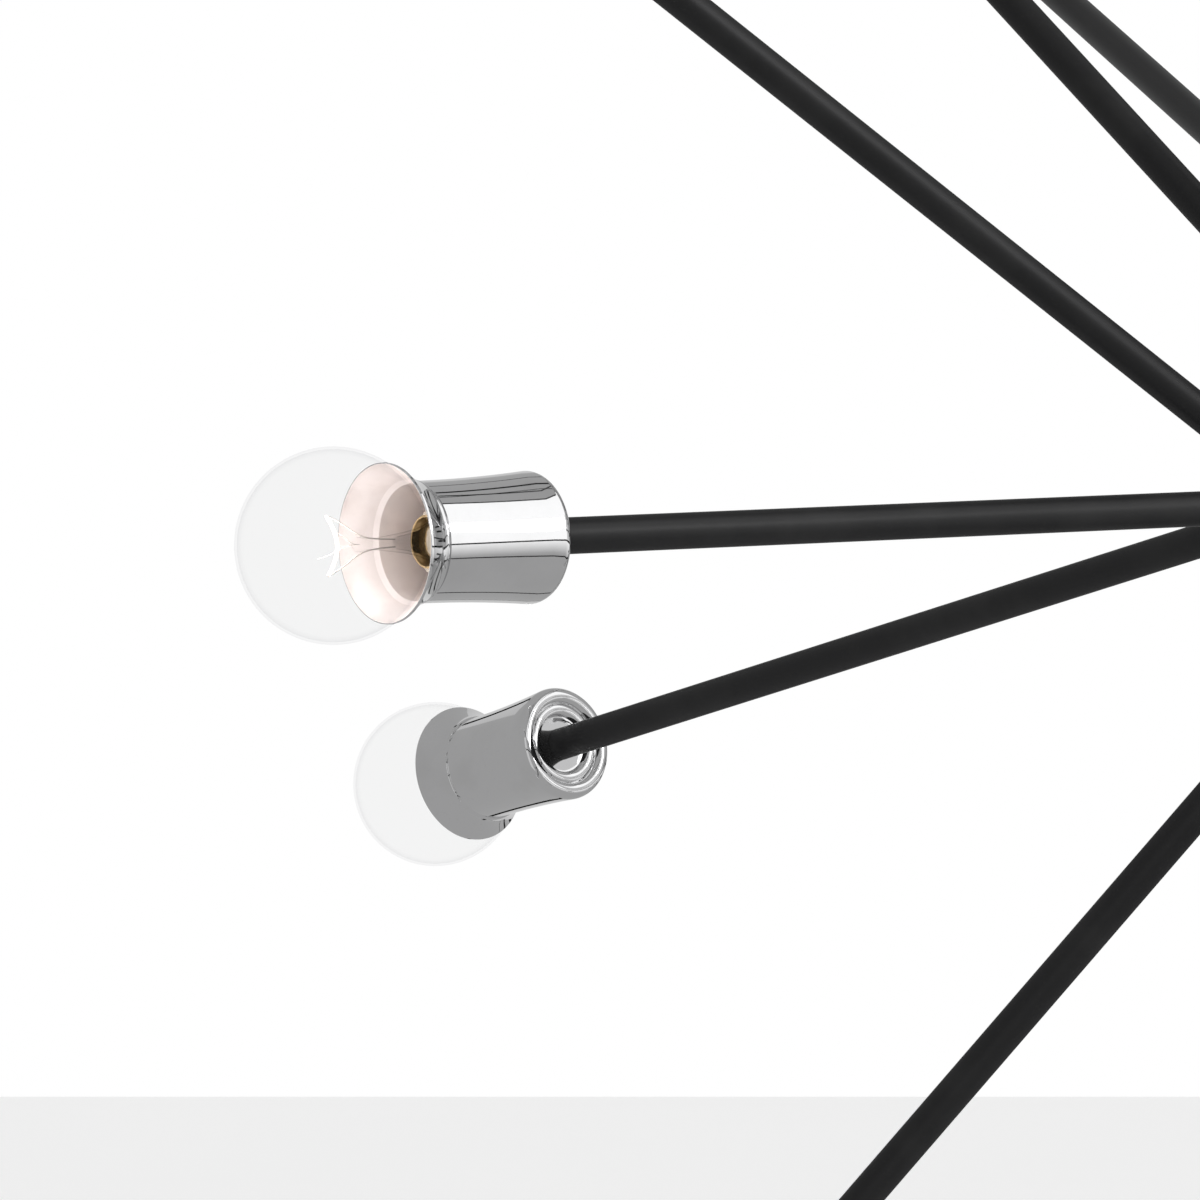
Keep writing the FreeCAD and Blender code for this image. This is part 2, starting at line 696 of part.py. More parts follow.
def make_bracket():
    """Bent strip: slotted ears on the ceiling, dropped middle and tapped end flanges."""
    body = add_body("mounting_bracket")
    middle = "(bracket_drop + bracket_wall)"
    right = [
        ("bracket_step - bracket_wall", "-bracket_drop"),
        ("bracket_step - bracket_wall", "0"),
        ("bracket_reach", "0"),
        ("bracket_reach", "-bracket_flange"),
        ("bracket_reach - bracket_wall", "-bracket_flange"),
        ("bracket_reach - bracket_wall", "-bracket_wall"),
        ("bracket_step", "-bracket_wall"),
        ("bracket_step", "-" + middle),
    ]
    left = [("-(%s)" % across, up) for across, up in reversed(right)]
    strip = add_sketch(body, "strip_outline", "XZ_Plane")
    draw_outline(strip, right + left)
    pad(body, strip, "bracket_width")
    centre = add_sketch(body, "neck_hole", "XY_Plane")
    draw_circle(centre, "0", "0", "neck_shaft + running_fit")
    cut_through(body, centre, "4 * bracket_drop")
    slots = add_sketch(body, "ear_slots", "XY_Plane")
    straight = "(slot_length - slot_width) / 2"
    end = "slot_width / 2"
    for low, high in (("slot_place - " + straight, "slot_place + " + straight),
                      ("-slot_place - " + straight, "-slot_place + " + straight)):
        draw_outline(slots, [
            (low, "-" + end, end, 1),
            (high, "-" + end),
            ("%s + %s" % (high, end), "0", end, 1),
            (high, end, end, 1),
            (low, end),
            ("%s - %s" % (low, end), "0", end, 1),
        ])
    cut_through(body, slots, "3 * bracket_wall")
    taps = add_sketch(body, "flange_taps", "YZ_Plane")
    draw_circle(taps, "0", "-screw_drop", "screw_radius + running_fit")
    cut_through(body, taps, "3 * bracket_reach")
    return body


def make_screws():
    """Two round-headed screws through the canopy's side into the bracket's flanges."""
    screws = []
    dome = "(screw_head ^ 2 / screw_head_height + screw_head_height / 4)"
    shank = "(canopy_radius - bracket_reach + bracket_wall + screw_spare)"
    for number, side in ((1, 1), (2, -1)):
        place = Placement(Vector(side * cell("canopy_radius"), 0, -cell("screw_drop")),
                          Rotation(Vector(0, 1, 0), 90 * side))
        screws.append(turned("canopy_screw_%d" % number, [
            ("0", "-" + shank),
            ("screw_radius", "-" + shank),
            ("screw_radius", "0"),
            ("screw_head", "0"),
            ("screw_head", "screw_head_height / 2"),
            ("0", "screw_head_height", dome, 1),
        ], place))
    return group("canopy_screws", screws)


# --------------------------------------------------------------- build, test and write
nodes = [
    make_bracket(),
    make_canopy(),
    make_screws(),
    make_nut(),
    make_yoke(),
    make_pin(),
    make_eye(),
    make_rods(),
    make_cap(),
    make_column(),
]
nodes += make_lights()
doc.recompute()

for item in doc.Objects:
    if "Invalid" in item.State or "Error" in item.State:
        raise RuntimeError("%s did not build: %s" % (item.Label, item.State))
for node in nodes:
    if node.Shape.isNull() or not node.Shape.isValid():
        raise RuntimeError("%s has no valid shape" % node.Label)

os.makedirs("parts", exist_ok=True)
for node in nodes:
    node.Shape.exportStep(os.path.join("parts", node.Label + ".step"))
    print("%-20s %d solids %10.1f mm3" % (node.Label, len(node.Shape.Solids), node.Shape.Volume))
print("hub height", round(hub_height, 2), "pin height", round(pin_height, 2), len(nodes), "nodes")
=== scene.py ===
"""Looks of the twelve-light sputnik chandelier, in metres, in the part's own frame."""

import json
import math

import bmesh
import bpy
from mathutils import Matrix, Vector


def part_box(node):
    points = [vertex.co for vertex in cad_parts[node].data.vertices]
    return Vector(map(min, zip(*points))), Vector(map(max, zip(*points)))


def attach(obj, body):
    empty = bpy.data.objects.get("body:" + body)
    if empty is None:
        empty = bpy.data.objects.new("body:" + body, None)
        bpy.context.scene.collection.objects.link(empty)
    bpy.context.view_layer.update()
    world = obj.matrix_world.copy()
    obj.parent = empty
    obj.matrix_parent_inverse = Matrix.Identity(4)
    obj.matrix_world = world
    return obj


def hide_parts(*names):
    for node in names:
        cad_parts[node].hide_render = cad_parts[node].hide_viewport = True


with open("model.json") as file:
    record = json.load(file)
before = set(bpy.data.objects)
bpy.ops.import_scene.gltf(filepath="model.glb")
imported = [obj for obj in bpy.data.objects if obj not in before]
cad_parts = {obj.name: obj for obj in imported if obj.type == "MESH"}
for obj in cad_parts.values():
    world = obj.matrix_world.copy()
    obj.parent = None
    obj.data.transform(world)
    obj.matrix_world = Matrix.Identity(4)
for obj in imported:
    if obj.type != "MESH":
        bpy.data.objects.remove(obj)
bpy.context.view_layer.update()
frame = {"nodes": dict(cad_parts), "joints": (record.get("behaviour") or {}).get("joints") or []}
scene = bpy.context.scene

MM = 0.001
LIGHTS = range(1, 13)

# ------------------------------------------------------------------ sizes, in mm
# On a light, heights run from the globe's centre back along the arm.
GLOBE_RADIUS = 26.2
GLASS_WALL = 0.7
NECK_RADIUS = 6.5
NECK_BLEND = 8.0
NECK_END = 33.5

CUP_MOUTH = 16.5
CUP_RIM_RADIUS = 21.5
CUP_RIM_HEIGHT = 0.8
FLARE_CURVE = 30.0
CUP_WAIST = 25.2
WAIST_RADIUS = 16.8
BARREL_CURVE = 420.0
BARREL_RADIUS = 17.9
CUP_LIP = 3.0
CUP_END = 66.3
CUP_STEP_CURVE = 2.2
CUP_FLOOR = 63.1
CUP_FLOOR_WALL = 1.0

BASE_CORE = 5.4
THREAD_CREST = 0.45
THREAD_DEPTH = 0.42
THREAD_PITCH = 2.54
THREAD_START = 35.2
THREAD_END = 46.8
THREAD_RUN_OUT = 0.8
SHELL_END = 47.6

FILAMENT_HEIGHT = -2.0
FILAMENT_SPAN = 8.0
FILAMENT_BOW = 4.6
COIL_RADIUS = 0.42
COIL_WIRE = 0.13
COIL_TURNS = 34
LEAD_WIRE = 0.20
PROP_WIRE = 0.08

ARM_RADIUS = 5.0
ARM_WALL = 1.0
ARM_TIP = 57.6
ARM_ROOT_FROM_AXIS = 16.0
ARM_HOLE_RADIUS = 5.05

COLUMN_RADIUS = 21.0
COLUMN_WALL = 3.0
FIT_CLEARANCE = 0.1
CAP_PLUG = 8.0
CAP_PLUG_WALL = 2.0
CAP_HEIGHT = 14.0
CAP_TOP_RADIUS = 9.0
CAP_BRIM = 3.0
STEM_RADIUS = 6.35
STEM_BORE = 5.15
STEM_LENGTH = 305.0
SPIGOT_LENGTH = 12.0
WIRE_RADIUS = 3.2

CANOPY_RADIUS = 60.0
CANOPY_DEPTH = 26.0
CANOPY_WALL = 1.2
CANOPY_EDGE = 6.0
CANOPY_HOLE = 6.5
SCREW_DROP = 12.0
SCREW_SHANK_RADIUS = 2.0
SCREW_LENGTH = 8.0
SCREW_HEAD_RADIUS = 4.5
SCREW_HEAD_EDGE = 1.5
SCREW_HEAD_HEIGHT = 3.0
SCREW_DOME = 7.5

TURN_STEPS = 128
GLOBE_STEPS = 192
BASE_STEPS = 160


# ------------------------------------------------------------------ shader helpers
def new_material(name):
    material = bpy.data.materials.new(name)
    material.use_nodes = True
    nodes = material.node_tree.nodes
    return material, nodes, material.node_tree.links, nodes["Principled BSDF"]


def object_coordinates(nodes):
    return nodes.new("ShaderNodeTexCoord").outputs["Object"]


def new_group(name, inputs, outputs):
    """Empty shader group with its sockets; inputs are (name, kind, default)."""
    tree = bpy.data.node_groups.new(name, "ShaderNodeTree")
    for label, kind, default in inputs:
        socket = tree.interface.new_socket(name=label, in_out="INPUT", socket_type=kind)
        if default is not None:
            socket.default_value = default
    for label, kind in outputs:
        tree.interface.new_socket(name=label, in_out="OUTPUT", socket_type=kind)
    return tree, tree.nodes.new("NodeGroupInput"), tree.nodes.new("NodeGroupOutput")


def use_group(nodes, tree, **values):
    node = nodes.new("ShaderNodeGroup")
    node.node_tree = tree
    for label, value in values.items():
        node.inputs[label.replace("_", " ")].default_value = value
    return node


def noise(nodes, links, vector, scale, detail=3.0, roughness=0.5):
    node = nodes.new("ShaderNodeTexNoise")
    links.new(vector, node.inputs["Vector"])
    if hasattr(scale, "is_output"):
        links.new(scale, node.inputs["Scale"])
    else:
        node.inputs["Scale"].default_value = scale
    node.inputs["Detail"].default_value = detail
    node.inputs["Roughness"].default_value = roughness
    return node.outputs["Fac"]


def spread(nodes, links, value, low, high, to_low=0.0, to_high=1.0):
    """Map Range from low..high to to_low..to_high, clamped."""
    node = nodes.new("ShaderNodeMapRange")
    links.new(value, node.inputs["Value"])
    limits = {"From Min": low, "From Max": high, "To Min": to_low, "To Max": to_high}
    for label, number in limits.items():
        if hasattr(number, "is_output"):
            links.new(number, node.inputs[label])
        else:
            node.inputs[label].default_value = number
    return node.outputs["Result"]


def arithmetic(nodes, links, operation, first, second):
    node = nodes.new("ShaderNodeMath")
    node.operation = operation
    for socket, value in zip(node.inputs, (first, second)):
        if hasattr(value, "is_output"):
            links.new(value, socket)
        else:
            socket.default_value = value
    return node.outputs["Value"]


def mix_colour(nodes, links, factor, first, second):
    node = nodes.new("ShaderNodeMix")
    node.data_type = "RGBA"
    for label, value in (("Factor", factor), ("A", first), ("B", second)):
        socket = next(s for s in node.inputs if s.name == label and s.enabled)
        if hasattr(value, "is_output"):
            links.new(value, socket)
        else:
            socket.default_value = value
    return next(s for s in node.outputs if s.enabled)


def bump(nodes, links, height, strength, distance):
    node = nodes.new("ShaderNodeBump")
    node.inputs["Strength"].default_value = strength
    node.inputs["Distance"].default_value = distance
    links.new(height, node.inputs["Height"])
    return node.outputs["Normal"]


# ------------------------------------------------------------------ shared effects
def build_handling_marks():
    """Faint smudges and dust: a mask from 0 (clean) to 1."""
    tree, given, result = new_group(
        "handling_marks",
        [("Vector", "NodeSocketVector", None), ("Scale", "NodeSocketFloat", 40.0),
         ("Amount", "NodeSocketFloat", 0.5)],
        [("Mask", "NodeSocketFloat")])
    nodes, links = tree.nodes, tree.links
    smudge = noise(nodes, links, given.outputs["Vector"], given.outputs["Scale"], 4.0, 0.55)
    patches = spread(nodes, links, smudge, 0.48, 0.68)
    fine = noise(nodes, links, given.outputs["Vector"], 900.0, 2.0)
    speckle = spread(nodes, links, fine, 0.6, 0.75)
    both = arithmetic(nodes, links, "MAXIMUM", patches, arithmetic(nodes, links, "MULTIPLY", speckle, 0.6))
    links.new(arithmetic(nodes, links, "MULTIPLY", both, given.outputs["Amount"]), result.inputs["Mask"])
    return tree


def build_skin_texture():
    """Height of a sprayed or plated skin: broad orange peel with fine grain on it."""
    tree, given, result = new_group(
        "skin_texture",
        [("Vector", "NodeSocketVector", None), ("Peel Scale", "NodeSocketFloat", 300.0),
         ("Grain Scale", "NodeSocketFloat", 2500.0), ("Grain Share", "NodeSocketFloat", 0.3)],
        [("Height", "NodeSocketFloat")])
    nodes, links = tree.nodes, tree.links
    peel = noise(nodes, links, given.outputs["Vector"], given.outputs["Peel Scale"], 1.0)
    grain = noise(nodes, links, given.outputs["Vector"], given.outputs["Grain Scale"], 2.0)
    share = arithmetic(nodes, links, "MULTIPLY", grain, given.outputs["Grain Share"])
    links.new(arithmetic(nodes, links, "ADD", peel, share), result.inputs["Height"])
    return tree


HANDLING_MARKS = build_handling_marks()
SKIN_TEXTURE = build_skin_texture()


# ------------------------------------------------------------------------ materials
def coated_material(name, colour, dusty, metallic, smooth, rough, peel_bump,
                    scales=(60.0, 300.0), marks=0.5):
    """Plated or painted finish, clean to dusty and smooth to rough with its marks.

    peel_bump is the skin texture's height in metres, scales are those of the marks and the skin.
    """
    material, nodes, links, surface = new_material(name)
    place = object_coordinates(nodes)
    marks_node = use_group(nodes, HANDLING_MARKS, Scale=scales[0], Amount=marks)
    links.new(place, marks_node.inputs["Vector"])
    mask = marks_node.outputs["Mask"]
    skin = use_group(nodes, SKIN_TEXTURE, Peel_Scale=scales[1])
    links.new(place, skin.inputs["Vector"])
    links.new(mix_colour(nodes, links, mask, (*colour, 1), (*dusty, 1)), surface.inputs["Base Color"])
    links.new(spread(nodes, links, mask, 0.0, 1.0, smooth, rough), surface.inputs["Roughness"])
    links.new(bump(nodes, links, skin.outputs["Height"], 1.0, peel_bump), surface.inputs["Normal"])
    surface.inputs["Metallic"].default_value = metallic
    return material


chrome = coated_material("polished_chrome", (0.62, 0.62, 0.625), (0.56, 0.56, 0.56),
                         1.0, 0.035, 0.10, 0.0000004)
lining = coated_material("cup_lining", (0.84, 0.775, 0.76), (0.72, 0.65, 0.63),
                         0.10, 0.38, 0.5, 0.000002, (90.0, 300.0), 1.0)
paint = coated_material("satin_black_paint", (0.012, 0.012, 0.0125), (0.022, 0.022, 0.022),
                        0.0, 0.38, 0.46, 0.000004, (35.0, 700.0))


def dull_grazing_paint(material):
    """Fine powder in the paint takes its shine away where it is seen along the surface."""
    nodes, links = material.node_tree.nodes, material.node_tree.links
    slant = nodes.new("ShaderNodeLayerWeight")
    shine = spread(nodes, links, slant.outputs["Facing"], 0.3, 0.7, 0.16, 0.03)
    links.new(shine, nodes["Principled BSDF"].inputs["Specular IOR Level"])


dull_grazing_paint(paint)
brass = coated_material("brass_shell", (0.76, 0.57, 0.31), (0.60, 0.45, 0.26),
                        0.85, 0.24, 0.40, 0.000001)
zinc = coated_material("zinc_steel", (0.60, 0.60, 0.59), (0.48, 0.48, 0.46),
                       1.0, 0.30, 0.48, 0.000003, (90.0, 500.0))
holder_cream = coated_material("holder_phenolic", (0.78, 0.72, 0.62), (0.66, 0.60, 0.50),
                               0.0, 0.38, 0.55, 0.000004)
insulator = coated_material("insulator_glass", (0.02, 0.018, 0.025), (0.05, 0.05, 0.05),
                            0.0, 0.12, 0.3, 0.000001)
solder = coated_material("solder_contact", (0.55, 0.55, 0.54), (0.42, 0.42, 0.40),
                         1.0, 0.30, 0.5, 0.000008, (200.0, 900.0))
nickel = coated_material("dull_nickel_wire", (0.30, 0.28, 0.26), (0.36, 0.34, 0.31),
                         0.3, 0.45, 0.6, 0.000001)


THIN_GLASS_IOR = 1.0005


def make_clear_glass(name, tint, edge, streaks):
    """Thin blown glass with faint draw lines and painted shade at its edges, which stands in for the rim's
    reflection and bending of light; clear to the lamp's own light.
    """
    material, nodes, links, surface = new_material(name)
    place = object_coordinates(nodes)
    stretched = nodes.new("ShaderNodeMapping")
    stretched.inputs["Scale"].default_value = (1.0, 1.0, 0.4)
    links.new(place, stretched.inputs["Vector"])
    skin = use_group(nodes, SKIN_TEXTURE, Peel_Scale=70.0, Grain_Scale=400.0, Grain_Share=0.05)
    links.new(stretched.outputs["Vector"], skin.inputs["Vector"])
    links.new(bump(nodes, links, skin.outputs["Height"], 1.0, streaks), surface.inputs["Normal"])
    # Painted shade: where the glass is seen at a slant, the base colour goes from the tint to the darker edge
    # colour, in place of the rim's reflection and bending of light.
    slant = nodes.new("ShaderNodeLayerWeight")
    painted_rim_shade = spread(nodes, links, slant.outputs["Facing"], 0.62, 0.98)
    links.new(mix_colour(nodes, links, painted_rim_shade, (*tint, 1), (*edge, 1)), surface.inputs["Base Color"])
    surface.inputs["Roughness"].default_value = 0.0
    surface.inputs["IOR"].default_value = THIN_GLASS_IOR
    surface.inputs["Transmission Weight"].default_value = 1.0
    path = nodes.new("ShaderNodeLightPath")
    clear = nodes.new("ShaderNodeBsdfTransparent")
    clear.inputs["Color"].default_value = (0.95, 0.95, 0.95, 1)
    either = nodes.new("ShaderNodeMixShader")
    links.new(path.outputs["Is Shadow Ray"], either.inputs[0])
    links.new(surface.outputs["BSDF"], either.inputs[1])
    links.new(clear.outputs["BSDF"], either.inputs[2])
    links.new(either.outputs["Shader"], nodes["Material Output"].inputs["Surface"])
    return material


# The second colour of each glass is its painted rim shade.
clear_glass = make_clear_glass("blown_glass", (0.950, 0.951, 0.951), (0.88, 0.88, 0.885), 0.000006)
stem_glass = make_clear_glass("stem_glass", (0.985, 0.98, 0.975), (0.62, 0.60, 0.58), 0.00002)


def make_filament():
    """White-hot tungsten whose colour varies a little along the coil."""
    material, nodes, links, surface = new_material("glowing_filament")
    heat = noise(nodes, links, object_coordinates(nodes), 500.0, 1.0)
    glow = mix_colour(nodes, links, heat, (1.0, 0.80, 0.60, 1), (1.0, 0.92, 0.82, 1))
    links.new(glow, surface.inputs["Emission Color"])
    surface.inputs["Emission Strength"].default_value = 3.0
    surface.inputs["Base Color"].default_value = (0.5, 0.45, 0.4, 1)
    material.cycles.emission_sampling = "NONE"
    return material


filament_hot = make_filament()


# --------------------------------------------------------------------- mesh helpers
def rounded_outline(corners):
    """Outline points in mm from (radius, height) or (radius, height, fillet) corners.

    A fillet is an arc of that radius, with a support point just before and after it.
    """
    points = []
    count = len(corners)
    for index, corner in enumerate(corners):
        here = Vector(corner[:2])
        fillet = corner[2] if len(corner) > 2 else 0.0
        before = Vector(corners[index - 1][:2]) - here
        after = Vector(corners[(index + 1) % count][:2]) - here
        if fillet <= 0 or before.length < 1e-6 or after.length < 1e-6:
            points.append(here)
            continue
        half = before.angle(after) / 2
        reach = min(fillet / math.tan(half), before.length * 0.48, after.length * 0.48)
        radius = reach * math.tan(half)
        before.normalize()
        after.normalize()
        centre = here + (before + after).normalized() * (radius / math.sin(half))
        start = here + before * reach
        turn = math.pi - 2 * half
        sign = 1.0 if before.x * after.y - before.y * after.x < 0 else -1.0
        steps = max(3, round(turn / math.radians(15)))
        support = min(0.12, before.length * 0.5)
        points.append(start + before * min(support, reach * 0.3))
        for step in range(steps + 1):
            swing = Matrix.Rotation(sign * turn * step / steps, 2)
            points.append(centre + swing @ (start - centre))
        points.append(here + after * reach + after * min(support, reach * 0.3))
    return points


def arc_to(start, end, radius, side, steps):
    """Arc in mm after start, up to and with end; side 1 has its centre to the left."""
    first = Vector(start)
    chord = Vector(end) - first
    rise = math.sqrt(max(radius ** 2 - (chord.length / 2) ** 2, 0.0))
    left = Vector((-chord.y, chord.x)).normalized()
    centre = (first + Vector(end)) / 2 + left * rise * side
    angle = side * 2 * math.asin(min(1.0, chord.length / 2 / radius))
    between = [tuple(centre + Matrix.Rotation(angle * step / steps, 2) @ (first - centre))
               for step in range(1, steps)]
    return between + [end]


def spin_outline(points, closed=True, steps=TURN_STEPS):
    """Bmesh of an outline of (radius, height) points in mm, spun about Z."""
    shape = bmesh.new()
    corners = [shape.verts.new((point[0] * MM, 0, point[1] * MM)) for point in points]
    pairs = list(zip(corners, corners[1:]))
    if closed:
        pairs.append((corners[-1], corners[0]))
    for first, second in pairs:
        if (first.co - second.co).length > 1e-8:
            shape.edges.new((first, second))
    bmesh.ops.spin(shape, geom=shape.verts[:] + shape.edges[:], cent=(0, 0, 0), axis=(0, 0, 1),
                   angle=2 * math.pi, steps=steps, use_merge=True, use_duplicate=False)
    bmesh.ops.remove_doubles(shape, verts=shape.verts[:], dist=1e-7)
    bmesh.ops.dissolve_degenerate(shape, edges=shape.edges[:], dist=1e-8)
    bmesh.ops.recalc_face_normals(shape, faces=shape.faces[:])
    return shape


def add_to(shape, other):
    """Adds the bmesh other to shape and frees it."""
    mesh = bpy.data.meshes.new("joined")
    other.to_mesh(mesh)
    other.free()
    shape.from_mesh(mesh)
    bpy.data.meshes.remove(mesh)
    return shape


def mesh_object(name, shape, materials):
    """Object of a bmesh at the origin; frees the bmesh."""
    mesh = bpy.data.meshes.new(name)
    shape.to_mesh(mesh)
    shape.free()
    for material in materials:
        mesh.materials.append(material)
    made = bpy.data.objects.new(name, mesh)
    scene.collection.objects.link(made)
    return made


def finish_piece(name, shape, materials, body, nodes_replaced, place=None, smooth=40):
    """Turns a bmesh into the named piece, riding on its body; edges past smooth degrees are sharp."""
    if place is not None:
        bmesh.ops.transform(shape, matrix=place, verts=shape.verts[:])
    piece = mesh_object(name, shape, materials)
    piece.data.polygons.foreach_set("use_smooth", [True] * len(piece.data.polygons))
    piece.data.set_sharp_from_angle(angle=math.radians(smooth))
    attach(piece, body)
    if nodes_replaced:
        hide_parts(*nodes_replaced)
    return piece


# ------------------------------------------------------------- where each light stands
def lamp_axis(number):
    """Unit vector from the hub out through the lamp."""
    for joint in frame["joints"]:
        if joint["name"] == "lamp_%02d_out" % number:
            return Vector(joint["axis"]).normalized()
    raise ValueError("no joint for lamp %d" % number)


def lamp_place(number):
    """Frame at the globe's centre whose +Z runs back along the arm to the hub."""
    axis = lamp_axis(number)
    low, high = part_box("lamp_globe_%02d" % number)
    radius = GLOBE_RADIUS * MM
    centre = Vector([high[i] - radius if axis[i] > 0 else low[i] + radius for i in range(3)])
    turn = math.atan2(axis.y, axis.x)
    rise = math.asin(axis.z)
    facing = Matrix.Rotation(turn, 4, "Z") @ Matrix.Rotation(-(rise + math.pi / 2), 4, "Y")
    return Matrix.Translation(centre) @ facing


PLACES = {number: lamp_place(number) for number in LIGHTS}
HUB_LOW, HUB_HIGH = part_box("hub_column")
HUB_TOP = HUB_HIGH[2]
HUB_MIDDLE = (HUB_LOW[2] + HUB_HIGH[2]) / 2


# --------------------------------------------------------------------- lamp and cup
def cup_shape():
    """Spun cup in mm; chrome outside, satin lining inside."""
    rim = (CUP_RIM_RADIUS, CUP_MOUTH + CUP_RIM_HEIGHT)
    waist = (WAIST_RADIUS, CUP_WAIST)
    bead_end = (16.3, 26.2)
    barrel_start = (16.32, 26.7)
    barrel_end = (BARREL_RADIUS, CUP_END - CUP_LIP)
    lip_end = (BARREL_RADIUS - CUP_LIP, CUP_END)
    step_foot = (12.9, 64.5)
    ridge_start = (12.5, 64.5)
    ridge_end = (9.1, 63.6)
    outside = [(CUP_RIM_RADIUS, CUP_MOUTH, 0.25), (*rim, 0.3)]
    outside += arc_to(rim, waist, FLARE_CURVE, -1, 6)
    outside += arc_to(waist, bead_end, 0.75, 1, 6)
    outside += [(16.05, 26.4), (16.05, 26.5), barrel_start]
    outside += arc_to(barrel_start, barrel_end, BARREL_CURVE, -1, 10)
    outside += arc_to(barrel_end, lip_end, CUP_LIP, 1, 12)
    outside += arc_to(lip_end, step_foot, CUP_STEP_CURVE, 1, 8)
    outside += [(12.7, 64.4), ridge_start]
    outside += arc_to(ridge_start, ridge_end, CUP_STEP_CURVE, 1, 10)
    outside += [(8.9, 63.2), (8.5, CUP_FLOOR), (ARM_HOLE_RADIUS, CUP_FLOOR)]
    inner_floor = CUP_FLOOR - CUP_FLOOR_WALL
    ledge = (16.75, 24.6)
    inner_rim = (20.9, 17.3)
    inside = [(ARM_HOLE_RADIUS, inner_floor), (17.3, inner_floor, 0.5), (15.65, 26.4, 0.3), (15.65, 25.8),
              (*ledge, 0.2)]
    inside += arc_to(ledge, inner_rim, FLARE_CURVE + 0.6, 1, 6) + [(21.1, CUP_MOUTH, 0.15)]
    shape = spin_outline(rounded_outline(outside + inside))
    lining_end = (inner_floor + 0.4) * MM
    for face in shape.faces:
        middle = face.calc_center_median()
        outwards = face.normal.x * middle.x + face.normal.y * middle.y
        inwards = outwards < -0.05 * math.hypot(middle.x, middle.y)
        is_floor = face.normal.z < -0.8 and middle.z > 60 * MM
        face.material_index = 1 if is_floor or (inwards and middle.z < lining_end) else 0
    return shape


def globe_shape():
    """Blown globe and neck, a closed shell of glass in mm."""
    side = NECK_RADIUS + NECK_BLEND
    blend_height = math.sqrt((GLOBE_RADIUS + NECK_BLEND) ** 2 - side ** 2)
    meet = math.atan2(side, blend_height)

    def skin(inset):
        """Points of one skin from the pole to the neck's end."""
        radius = GLOBE_RADIUS - inset
        points = []
        ball_steps = GLOBE_STEPS // 3
        for step in range(ball_steps + 1):
            angle = (math.pi - meet) * step / ball_steps
            points.append((radius * math.sin(angle), -radius * math.cos(angle)))
        bend = NECK_BLEND + inset
        blend_steps = 12
        for step in range(1, blend_steps + 1):
            angle = (math.pi / 2 - meet) * step / blend_steps + meet
            points.append((side - bend * math.sin(angle), blend_height - bend * math.cos(angle)))
        points.append((NECK_RADIUS - inset, NECK_END))
        return points

    return spin_outline(skin(0.0) + list(reversed(skin(GLASS_WALL))), closed=False, steps=GLOBE_STEPS)


def base_shape():
    """Skirt and screw shell in mm, with a rolled helical thread, and the cement round the stem's flare."""
    thread_length = THREAD_END - THREAD_START
    wall_steps = 70
    wall = [(5.15, NECK_END), (6.55, NECK_END), (6.55, 30.0), (7.15, 30.0, 0.25), (7.15, 34.2, 0.5),
            (5.6, 34.2)]
    wall += [(5.6, THREAD_START + step * thread_length / wall_steps) for step in range(wall_steps + 1)]
    wall += [(5.5, 47.5, 0.3), (3.2, 50.6), (2.5, 49.9), (5.15, 47.2)]
    shape = spin_outline(rounded_outline(wall), steps=BASE_STEPS)
    for corner in shape.verts:
        height = corner.co.z / MM
        radius = math.hypot(corner.co.x, corner.co.y) / MM
        if THREAD_START <= height <= THREAD_END and radius > BASE_CORE:
            angle = math.atan2(corner.co.y, corner.co.x)
            fade = min(1.0, (height - THREAD_START) / THREAD_RUN_OUT, (THREAD_END - height) / THREAD_RUN_OUT)
            wave = 0.5 + 0.5 * math.cos(2 * math.pi * height / THREAD_PITCH - angle)
            wanted = BASE_CORE + (THREAD_CREST - THREAD_DEPTH * (1 - wave)) * fade
            corner.co.x *= wanted / radius
            corner.co.y *= wanted / radius
    for face in shape.faces:
        face.material_index = 1 if face.calc_center_median().z > SHELL_END * MM else 0
    tip = spin_outline([(0, 50.2), (2.2, 50.2), (2.2, 51.6), (1.6, 52.1), (0.9, 52.28), (0, 52.3)],
                       closed=False)
    cement = spin_outline([(0, 33.9), (5.5, 33.9), (5.5, 35.4), (0, 35.4)], closed=False, steps=64)
    for part, index in ((tip, 2), (cement, 3)):
        for face in part.faces:
            face.material_index = index
        add_to(shape, part)
    return shape


def stem_shape():
    """Pressed glass stem inside the lamp: flare, waist, pinch and exhaust button."""
    button = [(0, 6.5), (1.1, 6.6), (1.9, 7.4), (2.0, 8.6), (1.5, 10.2)]
    outside = [(1.55, 13.0), (1.9, 16.0), (2.4, 20.0), (3.0, 24.0), (3.9, 28.0), (5.2, 31.5), (5.6, 33.2)]
    inside = [(4.9, 33.2), (4.3, 31.0), (3.0, 27.8), (2.2, 24.0), (1.6, 20.5), (0, 19.5)]
    return spin_outline(button + outside + inside, closed=False, steps=48)


def tube_along(points, radius, sides=12, between=6):
    """Round wire in mm through points, as a bmesh."""
    curve = bpy.data.curves.new("wire", "CURVE")
    curve.dimensions = "3D"
    curve.bevel_depth = radius * MM
    curve.bevel_resolution = max(1, sides // 4)
    curve.use_fill_caps = True
    line = curve.splines.new("NURBS")
    line.points.add(len(points) - 1)
    for knot, point in zip(line.points, points):
        knot.co = (point[0] * MM, point[1] * MM, point[2] * MM, 1)
    line.order_u = 3
    line.use_endpoint_u = True
    line.resolution_u = between
    holder = bpy.data.objects.new("wire", curve)
    mesh = bpy.data.meshes.new_from_object(holder)
    shape = bmesh.new()
    shape.from_mesh(mesh)
    bmesh.ops.remove_doubles(shape, verts=shape.verts[:], dist=1e-8)
    bmesh.ops.recalc_face_normals(shape, faces=shape.faces[:])
    bpy.data.objects.remove(holder)
    bpy.data.curves.remove(curve)
    bpy.data.meshes.remove(mesh)
    return shape


